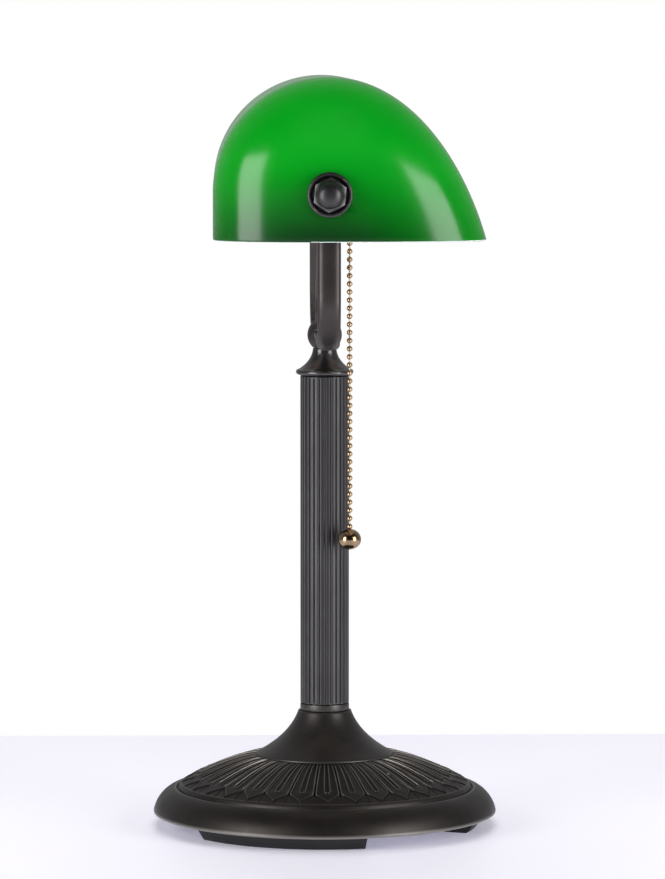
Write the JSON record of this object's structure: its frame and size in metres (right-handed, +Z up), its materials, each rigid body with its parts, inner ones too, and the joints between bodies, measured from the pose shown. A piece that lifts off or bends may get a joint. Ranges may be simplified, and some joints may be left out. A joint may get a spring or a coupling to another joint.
{
  "type": "desk lamp",
  "caption": "Desk lamp with a weighted round base, fluted column, yoke, tilting half-round green glass shade and a pull-chain lamp socket.",
  "frame": {"origin": "centre of the base, on the surface that its three foot pads stand on", "axes": "+Z up along the column; X along the shade and its tilt axis; -Y towards the shade's flared open front"},
  "size_m": [0.2756, 0.18, 0.3925],
  "materials": {
    "oiled_bronze": "satin brown-black oil-rubbed bronze",
    "green_glass": "polished emerald cased glass, white inside",
    "antique_brass": "polished antique brass",
    "brass": "bright rolled brass",
    "zinc_steel": "zinc plated",
    "cast_iron": "rough sand-cast",
    "black_rubber": "matt moulded",
    "white_nylon": "natural moulded",
    "phenolic": "dark brown moulded phenolic",
    "fibre_liner": "pressed fibre board",
    "bulb_aluminium": "rolled thread",
    "bulb_glass": "frosted",
    "lead_sheath": "smooth sheath"
  },
  "bodies": {
    "stand": {"base_casting": "oiled_bronze", "base_weight": "cast_iron", "bottom_plate": "zinc_steel", "plate_screw_1": "zinc_steel", "plate_screw_2": "zinc_steel", "plate_screw_3": "zinc_steel", "foot_pad_1": "black_rubber", "foot_pad_2": "black_rubber", "foot_pad_3": "black_rubber", "cord_gland": "black_rubber", "terminal_block": "white_nylon", "rod_washer": "zinc_steel", "rod_nut": "zinc_steel", "threaded_rod": "zinc_steel", "column_bell": "oiled_bronze", "column_ring": "oiled_bronze", "column_tube": "oiled_bronze", "column_cap": "oiled_bronze", "yoke_hub": "oiled_bronze", "yoke_arm_left": "oiled_bronze", "yoke_arm_right": "oiled_bronze", "pivot_bolt_left": "zinc_steel", "pivot_bolt_right": "zinc_steel", "pivot_spacer_left": "white_nylon", "pivot_spacer_right": "white_nylon", "cap_nut_left": "oiled_bronze", "cap_nut_right": "oiled_bronze", "socket_arm": "oiled_bronze", "socket_cap": "brass", "socket_shell": "brass", "socket_liner": "fibre_liner", "screw_shell": "brass", "centre_contact": "brass", "switch_body": "phenolic", "drum_axle": "zinc_steel", "return_spring": "zinc_steel", "chain_spout": "brass", "bulb_envelope": "bulb_glass", "bulb_stem": "bulb_glass", "bulb_cap": "bulb_aluminium", "bulb_insulator": "phenolic", "bulb_tip": "brass", "wiring_lead": "lead_sheath"},
    "shade": {"shade_glass": "green_glass", "glass_bush_left": "white_nylon", "glass_bush_right": "white_nylon", "cup_washer_left": "oiled_bronze", "cup_washer_right": "oiled_bronze"},
    "chain_slider": {"chain_top": "antique_brass"},
    "chain_drop": {"pull_chain": "antique_brass", "pull_ball": "antique_brass"},
    "drum": {"switch_drum": "white_nylon"}
  },
  "joints": [
    {"name": "shade_tilt", "type": "hinge", "parent": "stand", "child": "shade", "pos_m": [0, 0, 0.3346], "axis": [-1, 0, 0], "range_deg": [-48, 48]},
    {"name": "chain_pull", "type": "slide", "parent": "stand", "child": "chain_slider", "axis": [0, 0, -1], "range_m": [0, 0.012], "stiffness_N_per_m": 600, "springref_m": -0.001},
    {"name": "chain_swing", "type": "hinge", "parent": "chain_slider", "child": "chain_drop", "pos_m": [-0.02, -0.0125, 0.312], "axis": [-1, 0, 0], "range_deg": [-4, 15]},
    {"name": "drum_turn", "type": "hinge", "parent": "stand", "child": "drum", "pos_m": [-0.02, -0.0065, 0.33], "axis": [1, 0, 0], "range_deg": [0, 115]}
  ],
  "couplings": [
    {"joint": "drum_turn", "follows": "chain_pull", "rad_per_m": 166.67}
  ]
}
